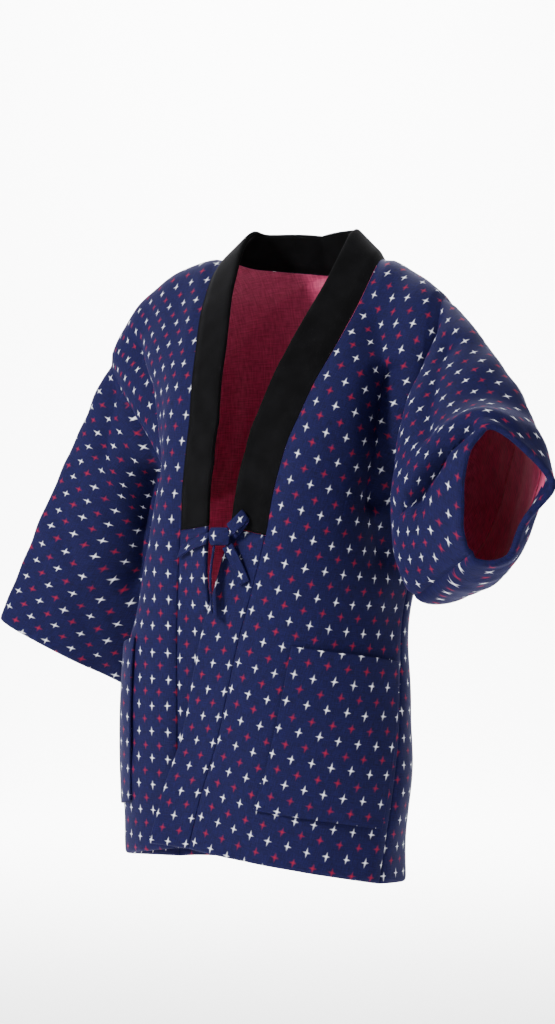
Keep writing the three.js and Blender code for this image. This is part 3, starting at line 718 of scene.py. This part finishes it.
def cross_mask(tree, place, pitch, offset, arms, seed):
    """The mask of one cross per cell of a lattice. Its arms narrow and pale to their ends, and its
    threads start and stop a little apart, as dyed bundles of yarn do. place is where on the cloth, in mm."""

    def math(operation, *values):
        return add(tree, "ShaderNodeMath", dict(enumerate(values)), operation=operation).outputs[0]

    def from_0_to_1(value):
        return math("MINIMUM", math("MAXIMUM", value, 0.0), 1.0)

    def chance(*key):
        vector = add(tree, "ShaderNodeCombineXYZ", dict(enumerate(key))).outputs[0]
        return add(tree, "ShaderNodeTexWhiteNoise", {"Vector": vector}, noise_dimensions="3D").outputs

    cells, local = [], []
    for axis in (0, 1):
        steps = math("DIVIDE", math("SUBTRACT", place[axis], offset[axis]), pitch[axis])
        shifted = math("ADD", steps, 0.5)
        cell = math("FLOOR", shifted)
        inside = math("SUBTRACT", math("SUBTRACT", shifted, cell), 0.5)
        cells.append(cell)
        local.append(math("MULTIPLY", inside, pitch[axis]))
    shift = add(tree, "ShaderNodeSeparateColor", {0: chance(*cells, seed)["Color"]}).outputs
    strays = [math("MULTIPLY_ADD", shift[axis], 2 * STRAY[axis], -STRAY[axis]) for axis in (0, 1)]
    x, y = math("ADD", local[0], strays[0]), math("ADD", local[1], strays[1])
    slips = []
    for across in (x, y):
        strand = math("FLOOR", math("MULTIPLY", across, BUNDLES))
        slips.append(math("MULTIPLY_ADD", chance(strand, *cells)["Value"], 2 * FRAY, -FRAY))
    reach = math("POWER", math("ADD", math("MULTIPLY", x, x), math("MULTIPLY", y, y)), 0.5)
    middle = math("DIVIDE", math("SUBTRACT", arms["spot"], reach), arms["soft"])
    masks = [from_0_to_1(math("ADD", middle, 0.5))]
    upright = (y, x, arms["tall"], arms["thick"], slips[0])
    level = (x, y, arms["long"], arms["flat"], slips[1])
    for run, side, length, width, slip in (upright, level):
        way = math("DIVIDE", math("ABSOLUTE", math("ADD", run, slip)), length)
        left = math("MAXIMUM", math("SUBTRACT", 1.0, way), 0.0)
        half = math("MULTIPLY", math("POWER", left, 0.5), width)
        inside = math("DIVIDE", math("SUBTRACT", half, math("ABSOLUTE", side)), arms["soft"])
        pale = math("MULTIPLY", math("MINIMUM", math("MULTIPLY", left, TIP_FADE), 1.0), ARM_STRENGTH)
        masks.append(math("MULTIPLY", from_0_to_1(math("ADD", inside, ARM_BIAS)), pale))
    crossed = math("MAXIMUM", masks[0], math("MAXIMUM", masks[1], masks[2]))
    return math("MULTIPLY", crossed, math("MULTIPLY_ADD", shift[2], 0.2, 0.9))


def kasuri_cotton(colours):
    """Cotton dyed in the yarn and woven with crosses: navy ground, white crosses on a lattice and red
    ones half a step between them. The eye gets a dry ground with a faint violet sheen at its edges, slubs
    along both threads and crosses whose arms fray out."""
    material, tree, shader = new_material("kasuri_cotton_woven")
    cloth = add(tree, "ShaderNodeUVMap", uv_map="Cloth").outputs[0]
    in_mm = scaled(tree, cloth, (1 / MM, 1 / MM, 0))
    place = add(tree, "ShaderNodeSeparateXYZ", {0: in_mm}).outputs
    pitch = (colours.pitch_weft / MM, colours.pitch_warp / MM)
    between = [start + step / 2 for start, step in zip(FIRST_CROSS, pitch)]
    white = cross_mask(tree, place, pitch, FIRST_CROSS, WHITE_CROSS, seed=3.0)
    red = cross_mask(tree, place, pitch, between, RED_CROSS, seed=11.0)
    slubs = []
    for stretch, seed in (((0.9, 0.1, 1), 0.0), ((0.1, 0.9, 1), 9.0)):
        threads = scaled(tree, in_mm, stretch)
        moved = add(tree, "ShaderNodeVectorMath", {0: threads, 1: (0, 0, seed)}, operation="ADD").outputs[0]
        slubs.append(noise(tree, moved, 1.0, 2.0))
    both = add(tree, "ShaderNodeMath", {0: slubs[0], 1: slubs[1]}, operation="ADD").outputs[0]
    ground = mix(tree, spread(tree, both, 0.7, 1.3), srgb("#0a0a2b"), srgb("#111142"))
    with_red = mix(tree, red, ground, (*colours.red_cross, 1.0))
    colour = mix(tree, white, with_red, (*colours.white_cross, 1.0))
    values = {"Roughness": 0.82, "Specular IOR Level": 0.15, "Sheen Weight": 0.07, "Sheen Roughness": 0.4}
    values["Sheen Tint"] = srgb("#5a50c8")
    lay_cloth(tree, shader, colour, both, 0.35, 0.0008, values)
    return material


def cotton_velvet():
    """Cut-pile cotton velvet, dyed black. The pile swallows light face on and shines softly at its edges,
    with cloudy patches where it has been brushed one way or the other."""
    material, tree, shader = new_material("cotton_velvet_cut_pile")
    place = add(tree, "ShaderNodeTexCoord").outputs["Object"]
    cloud = noise(tree, place, 38.0, 3.0)
    pile = noise(tree, place, 900.0, 2.0)
    colour = mix(tree, spread(tree, cloud, 0.35, 0.7), srgb("#030304"), srgb("#09090b"))
    values = {"Roughness": 0.95, "Specular IOR Level": 0.1, "Sheen Weight": 0.12, "Sheen Roughness": 0.3}
    values["Sheen Tint"] = srgb("#8c8c98")
    lay_cloth(tree, shader, colour, pile, 0.3, 0.0006, values)
    return material


def lining_cotton():
    """Plain-woven crimson lining cotton, calendered a little smooth. It gives a soft sheen and shows fine
    threads both ways, drawn at 2 mm, as the real ones are too fine for the picture."""
    material, tree, shader = new_material("lining_cotton_plain_woven")
    cloth = add(tree, "ShaderNodeUVMap", uv_map="Cloth").outputs[0]
    threads = [noise(tree, scaled(tree, cloth, scale), 1.0, 1.0) for scale in ((500, 60, 0), (60, 500, 0))]
    both = add(tree, "ShaderNodeMath", {0: threads[0], 1: threads[1]}, operation="ADD").outputs[0]
    colour = mix(tree, spread(tree, both, 0.7, 1.3), srgb("#9c2550"), srgb("#c8426e"))
    lay_cloth(tree, shader, colour, both, 0.25, 0.0004, {"Roughness": 0.6, "Sheen Weight": 0.15})
    return material


def painted_floor():
    """Matt white studio paint, which gives the eye nothing but the light that falls on it."""
    material, _, shader = new_material("painted_studio_floor")
    shader.inputs["Base Color"].default_value = srgb("#ffffff")
    shader.inputs["Roughness"].default_value = 0.9
    return material


CLOTHS = {}
GRIDS = {}


def workroom(scene):
    """The sewn grids and the three cloths, each made once, and the sizes of the cut."""
    if not CLOTHS:
        cotton = kasuri_cotton(scene.hanten_colours)
        CLOTHS.update(cotton=cotton, velvet=cotton_velvet(), lining=lining_cotton())
    if not GRIDS:
        GRIDS.update(cloth_grids(scene.hanten_cut))
    return GRIDS, CLOTHS, scene.hanten_cut


def finish_piece(piece, node, outer, inner=None):
    """Gives a piece its cloths, rides it on the body and has it stand for its CAD node."""
    piece.data.materials.append(outer)
    piece.data.materials.append(inner or outer)
    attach(piece, "root")
    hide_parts(node)


def measure(name, description, metres):
    """A length that a user can change."""
    return FloatProperty(name=name, description=description, default=metres, unit="LENGTH", precision=4)


class HantenCut(PropertyGroup):
    """Sizes that the coat is sewn to"""

    wall: measure("Padded wall", "Thickness of outer cloth, wadding and lining", 0.009)
    band_wall: measure("Band wall", "Thickness of the bands and the collar", 0.007)
    pocket_wall: measure("Pocket wall", "Thickness of a patch pocket", 0.003)
    lining_wall: measure("Lining wall", "Thickness of the cuff lining", 0.0015)
    tie_wall: measure("Tie wall", "Thickness of a tie", 0.003)
    tie_width: measure("Tie width", "Width of a tie", 0.015)
    ripple: measure("Ripple", "Unevenness of the wadding", 0.0011)
    seed: IntProperty(name="Seed", description="Seed of the unevenness", default=4)


class HantenColours(PropertyGroup):
    """Colours and pattern of the cloths"""

    white_cross: FloatVectorProperty(
        name="White cross", description="Undyed yarn", subtype="COLOR", default=srgb("#f4f5ff")[:3]
    )
    red_cross: FloatVectorProperty(
        name="Red cross", description="Madder red yarn", subtype="COLOR", default=srgb("#86122f")[:3]
    )
    pitch_weft: measure("Pitch along the weft", "From one white cross to the next", 0.024)
    pitch_warp: measure("Pitch along the warp", "From one white cross to the next", 0.0333)


class HANTEN_OT_body_lengths(Operator):
    """Makes the two body lengths, each from the front hem over the shoulder to the back hem"""

    bl_idname = "hanten.body_lengths"
    bl_label = "Body lengths"

    def execute(self, context):
        made, cloth, cut = workroom(context.scene)
        for side in SIDES:
            grid = made[f"body_{side}"]
            half = grid.half(cut.wall / MM, (made[f"sleeve_{side}"], made["collar"]))
            piece = wall_mesh(f"cloth_body_{side}", grid, half, half, facing=FACING_BODY)
            finish_piece(piece, f"body_{side}", cloth["cotton"], cloth["lining"])
        return {"FINISHED"}


class HANTEN_OT_sleeves(Operator):
    """Makes the two wide sleeves, the left one over the raised forearm"""

    bl_idname = "hanten.sleeves"
    bl_label = "Sleeves"

    def execute(self, context):
        made, cloth, cut = workroom(context.scene)
        for side in SIDES:
            grid = made[f"sleeve_{side}"]
            half = grid.half(cut.wall / MM, (made[f"body_{side}"],))
            piece = wall_mesh(f"cloth_sleeve_{side}", grid, half, half, facing=FACING_SLEEVE)
            finish_piece(piece, f"sleeve_{side}", cloth["cotton"], cloth["lining"])
        return {"FINISHED"}


class HANTEN_OT_cuff_lining(Operator):
    """Makes the lining where it shows inside the left cuff"""

    bl_idname = "hanten.cuff_lining"
    bl_label = "Cuff lining"

    def execute(self, context):
        made, cloth, cut = workroom(context.scene)
        sleeve = made["sleeve_left"]
        rows = slice(33, -11)  # from half way down the sleeve to the facing of the cuff
        grid = Grid(sleeve.points[rows], sleeve.sign, ring=True, sewn=(False,) * 4)
        grid.normals = sleeve.normals[rows]
        inward = cut.wall / MM / 2 + SEAM_GAP + cut.lining_wall / MM / 2
        grid.points = grid.points - grid.normals * inward
        grid.cloth = [part[rows] for part in sleeve.cloth]
        half = np.full_like(grid.u, cut.lining_wall / MM / 2)
        piece = wall_mesh("cloth_cuff_lining_left", grid, half, half, trim=0)
        finish_piece(piece, "cuff_lining_left", cloth["lining"])
        return {"FINISHED"}


class HANTEN_OT_bands(Operator):
    """Makes the self-fabric bands below the velvet"""

    bl_idname = "hanten.bands"
    bl_label = "Front bands"

    def execute(self, context):
        made, cloth, cut = workroom(context.scene)
        for side in SIDES:
            grid = made[f"band_{side}"]
            half = grid.half(cut.band_wall / MM)
            grid.move_cloth(BAND_PATTERN)
            piece = wall_mesh(f"cloth_band_{side}", grid, half, half)
            finish_piece(piece, f"band_{side}", cloth["cotton"])
        return {"FINISHED"}


class HANTEN_OT_collar(Operator):
    """Makes the velvet cover of the collar, from one front round the neck to the other"""

    bl_idname = "hanten.collar"
    bl_label = "Collar"

    def execute(self, context):
        made, cloth, cut = workroom(context.scene)
        grid = made["collar"]
        half = grid.half(cut.band_wall / MM, (made["body_left"], made["body_right"]))
        piece = wall_mesh("cloth_collar", grid, half, half, trim=1.5 * SEAM_GAP)
        finish_piece(piece, "collar", cloth["velvet"])
        return {"FINISHED"}


class HANTEN_OT_pockets(Operator):
    """Makes the patch pockets on the fronts"""

    bl_idname = "hanten.pockets"
    bl_label = "Pockets"

    def execute(self, context):
        _, cloth, cut = workroom(context.scene)
        edge = np.array([0, 0.008, 0.02, 0.04, 0.07])
        share = np.concatenate([edge, np.linspace(0.1, 0.9, 30), 1 - edge[::-1]])
        columns = POCKET_ACROSS[0] + share * (POCKET_ACROSS[1] - POCKET_ACROSS[0])
        rows = POCKET_ALONG[0] + share * (POCKET_ALONG[1] - POCKET_ALONG[0])
        gape = POCKET_GAPE * share[:, None] ** 5 * np.sin(np.pi * share)[None, :] ** 0.7
        off = (cut.wall + cut.pocket_wall) / MM / 2 + SEAM_GAP + POCKET_STANDS_OFF + gape
        for side, (opening, seam, table, loops, _, sign) in SIDES.items():
            points = body_points(opening, seam, table, loops, sign < 0, columns, rows)
            grid = Grid(points, sign, sewn=(True, True, True, False))
            grid.cloth = cloth_of(points, through(WARP[side])(rows), 0)
            grid.move_cloth(POCKET_PATTERN)
            grid.points = grid.points + grid.normals * off[..., None]
            half = grid.half(cut.pocket_wall / MM)
            piece = wall_mesh(f"cloth_pocket_{side}", grid, half, half, trim=0)
            finish_piece(piece, f"pocket_{side}", cloth["cotton"])
        return {"FINISHED"}


class HANTEN_OT_tie(Operator):
    """Makes the tie: its knot, the loop of the half bow and the three tails"""

    bl_idname = "hanten.tie"
    bl_label = "Tie"

    def execute(self, context):
        _, cloth, cut = workroom(context.scene)
        width = cut.tie_width / MM
        across = np.array([0, 0.05, 0.15, 0.3, 0.5, 0.7, 0.85, 0.95, 1])
        for name, (wide, path) in TIES.items():
            at = through([[k / (len(path) - 1), *p] for k, p in enumerate(path)])
            side = unit(np.array(wide, float))
            points = at(np.linspace(0, 1, 34))[:, None] + side * (width * (across - 0.5))[None, :, None]
            grid = Grid(points, 1, sewn=(False,) * 4)
            half = grid.half(cut.tie_wall / MM)
            grid.move_cloth(TIE_PATTERN)
            piece = wall_mesh(f"cloth_{name}", grid, half, half, trim=0)
            finish_piece(piece, name, cloth["cotton"])
        turn = KNOT_TURN * (np.linspace(0, 1, 24) - 0.5)
        a, b = turn[None, :], turn[:, None]
        (x, y, z), (hx, hy, hz) = KNOT
        across_knot = x + hx * np.sin(a) * np.cos(b * 0.5)
        depth = y - hy * np.cos(a) * np.cos(b)
        height = z + hz * np.sin(b) + 0 * a
        grid = Grid(np.stack([across_knot, depth, height], axis=-1), 1, sewn=(False,) * 4)
        out, into = np.full_like(grid.u, KNOT_OUT), np.full_like(grid.u, KNOT_IN)
        piece = wall_mesh("cloth_tie_knot", grid, out, into, trim=0)
        finish_piece(piece, "tie_knot", cloth["cotton"])
        return {"FINISHED"}


def studio_floor(scene):
    """The floor with its wall, as a profile drawn along the direction across the view."""
    profile = [*([depth, FLOOR_HEIGHT] for depth in FLOOR_DEPTHS), *WALL_PROFILE]
    at = through([[k, *point] for k, point in enumerate(profile)])(np.linspace(0, len(profile) - 1, 60))
    across = np.linspace(-FLOOR_HALF_WIDTH, FLOOR_HALF_WIDTH, 15) + 0 * at[:, :1]
    depth, height = at[:, :1] + 0 * across, at[:, 1:] + 0 * across
    cos, sin = np.cos(VIEW_AZIMUTH), np.sin(VIEW_AZIMUTH)
    vertices = np.stack([across * cos - depth * sin, across * sin + depth * cos, height], axis=-1)
    nj, ni = height.shape
    j, i = np.meshgrid(np.arange(nj - 1), np.arange(ni - 1), indexing="ij")
    corner = j * ni + i
    faces = np.stack([corner, corner + 1, corner + ni + 1, corner + ni], -1).reshape(-1, 4)
    mesh = bpy.data.meshes.new("floor")
    mesh.from_pydata(vertices.reshape(-1, 3).tolist(), [], faces.tolist())
    mesh.polygons.foreach_set("use_smooth", np.ones(len(faces), bool))
    mesh.materials.append(painted_floor())
    floor = bpy.data.objects.new("floor", mesh)
    scene.collection.objects.link(floor)


def studio_lights(scene):
    """The soft round lamps and the even light all round."""
    for name, place, width, power, target in LIGHTS:
        light = bpy.data.lights.new(name, "AREA")
        light.shape = "DISK"
        light.size = width
        light.energy = power
        lamp = bpy.data.objects.new(name, light)
        scene.collection.objects.link(lamp)
        lamp.location = place
        way = Vector(target) - Vector(place)
        lamp.rotation_euler = way.to_track_quat("-Z", "Y").to_euler()
    world = bpy.data.worlds.new("studio")
    world.use_nodes = True
    back = world.node_tree.nodes["Background"]
    back.inputs["Color"].default_value = srgb("#ffffff")
    back.inputs["Strength"].default_value = WORLD_STRENGTH
    scene.world = world


def studio_camera(scene):
    """The camera at the photograph's angle, level with the middle of its picture."""
    camera = bpy.data.cameras.new("camera")
    camera.sensor_width = 36.0
    camera.sensor_fit = "AUTO"
    camera.lens = VIEW_LENS
    eye = bpy.data.objects.new("camera", camera)
    scene.collection.objects.link(eye)
    cos, sin = np.cos(VIEW_AZIMUTH), np.sin(VIEW_AZIMUTH)
    middle = VIEW_SIDE * np.array([cos, sin, 0]) + np.array([0, 0, VIEW_HEIGHT])
    eye.location = middle + VIEW_DISTANCE * np.array([sin, -cos, 0])
    eye.rotation_euler = (np.radians(90), 0, VIEW_AZIMUTH)
    scene.camera = eye


class HANTEN_OT_stage(Operator):
    """Makes the pale floor that runs up far behind, the soft lights and the camera"""

    bl_idname = "hanten.stage"
    bl_label = "Stage"

    def execute(self, context):
        studio_floor(context.scene)
        studio_lights(context.scene)
        studio_camera(context.scene)
        return {"FINISHED"}


class HANTEN_PT_panel(Panel):
    """Lists the sizes, the colours and the steps"""

    bl_idname = "HANTEN_PT_panel"
    bl_label = "Hanten"
    bl_space_type = "VIEW_3D"
    bl_region_type = "UI"
    bl_category = "Hanten"

    def draw(self, context):
        for group in (context.scene.hanten_cut, context.scene.hanten_colours):
            for name in group.__annotations__:
                self.layout.prop(group, name)
        for step in STEPS:
            self.layout.operator(step.bl_idname)


STEPS = (
    HANTEN_OT_stage,
    HANTEN_OT_tie,
    HANTEN_OT_body_lengths,
    HANTEN_OT_sleeves,
    HANTEN_OT_cuff_lining,
    HANTEN_OT_bands,
    HANTEN_OT_collar,
    HANTEN_OT_pockets,
)
CLASSES = (HantenCut, HantenColours, *STEPS, HANTEN_PT_panel)


def register():
    """Registers the classes and gives each scene its sizes and colours"""
    for cls in CLASSES:
        bpy.utils.register_class(cls)
    bpy.types.Scene.hanten_cut = PointerProperty(type=HantenCut)
    bpy.types.Scene.hanten_colours = PointerProperty(type=HantenColours)


def unregister():
    """Takes them away again"""
    del bpy.types.Scene.hanten_colours
    del bpy.types.Scene.hanten_cut
    for cls in reversed(CLASSES):
        bpy.utils.unregister_class(cls)


def main():
    register()
    bpy.ops.hanten.stage()
    bpy.ops.hanten.tie()
    bpy.ops.hanten.body_lengths()
    bpy.ops.hanten.sleeves()
    bpy.ops.hanten.cuff_lining()
    bpy.ops.hanten.bands()
    bpy.ops.hanten.collar()
    bpy.ops.hanten.pockets()


if __name__ == "__main__":
    main()
